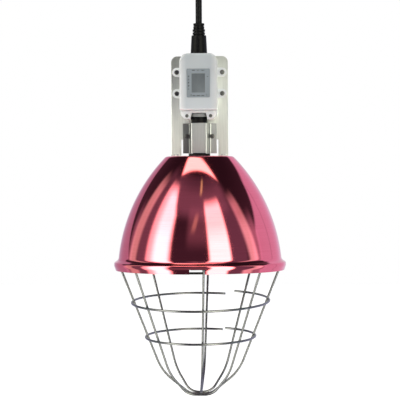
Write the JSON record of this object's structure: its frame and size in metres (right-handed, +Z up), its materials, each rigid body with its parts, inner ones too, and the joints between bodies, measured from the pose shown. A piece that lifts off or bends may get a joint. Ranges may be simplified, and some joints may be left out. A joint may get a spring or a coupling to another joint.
{
  "type": "infrared lamp",
  "caption": "Hanging infrared heat lamp: domed polished reflector with a wire guard under it, steel hanger plate, controller box with display, and a cord to a ceiling flange.",
  "frame": {"origin": "middle of the ceiling flange's upper face, where the lamp hangs from the ceiling", "axes": "+Z up along the lamp's axis, -Y towards the front with the display, +X to the right seen from there"},
  "size_m": [0.215, 0.215, 0.5492],
  "materials": {
    "satin_steel": "satin rolled stainless sheet",
    "black_plastic": "fine satin moulding",
    "zinc_fasteners": "zinc plated",
    "milky_plastic": "translucent milky polycarbonate",
    "brass": "plain pressed brass",
    "black_rubber": "matt",
    "cord_sheath": "smooth black sheath",
    "boot_rubber": "moulded black, satin",
    "display_print": "printed film, satin",
    "display_dark_glass": "dark glossy display window",
    "module_plastic": "matt",
    "board_green": "solder mask",
    "component_plastic": "moulded case",
    "terminal_plastic": "moulded case",
    "grey_plastic": "satin moulding",
    "pink_aluminium": "polished, pink anodised",
    "porcelain": "glazed white",
    "cap_aluminium": "pressed thread",
    "silvered_glass": "pressed glass, silvered inside",
    "red_glass": "ruby pressed glass",
    "tungsten": "drawn wire",
    "bright_wire": "bright nickel plated steel wire"
  },
  "bodies": {
    "fixture": {"ceiling_flange": "black_plastic", "gland_seal": "black_rubber", "gland_nut": "black_plastic", "supply_cord": "cord_sheath", "supply_boot": "boot_rubber", "hanger_plate": "satin_steel", "foot_rivets": "zinc_fasteners", "controller_base": "milky_plastic", "terminal_cover": "milky_plastic", "cover_screws": "zinc_fasteners", "controller_lid": "milky_plastic", "lid_seal": "black_rubber", "display_bezel": "display_print", "display_glass": "display_dark_glass", "display_module": "module_plastic", "circuit_board": "board_green", "board_screws": "zinc_fasteners", "power_relay": "component_plastic", "power_supply": "component_plastic", "terminal_block": "terminal_plastic", "ear_screws": "zinc_fasteners", "ear_nuts": "zinc_fasteners", "lamp_lead": "cord_sheath", "outlet_collar": "grey_plastic", "lamp_boot": "boot_rubber", "clamp_bracket": "satin_steel", "clamp_screws": "zinc_fasteners", "clamp_nuts": "zinc_fasteners", "reflector": "pink_aluminium", "lock_ring": "black_plastic", "lampholder_body": "porcelain", "lampholder_shell": "brass", "centre_contact": "brass"},
    "bulb": {"bulb_contact": "brass", "bulb_cap": "cap_aluminium", "bulb_cup": "silvered_glass", "bulb_lens": "red_glass", "bulb_filament": "tungsten"},
    "guard": {"guard_wire_1": "bright_wire", "guard_wire_2": "bright_wire", "guard_wire_3": "bright_wire", "guard_wire_4": "bright_wire", "guard_ring_upper": "bright_wire", "guard_ring_lower": "bright_wire"}
  },
  "joints": [
    {"name": "bulb_screw", "type": "hinge", "parent": "fixture", "child": "bulb", "pos_m": [0, 0, -0.2508], "axis": [0, 0, -1], "range_deg": [0, 1350]},
    {"name": "guard_swivel", "type": "hinge", "parent": "fixture", "child": "guard", "pos_m": [0, 0, -0.3866], "axis": [0, 0, 1], "continuous": true}
  ]
}
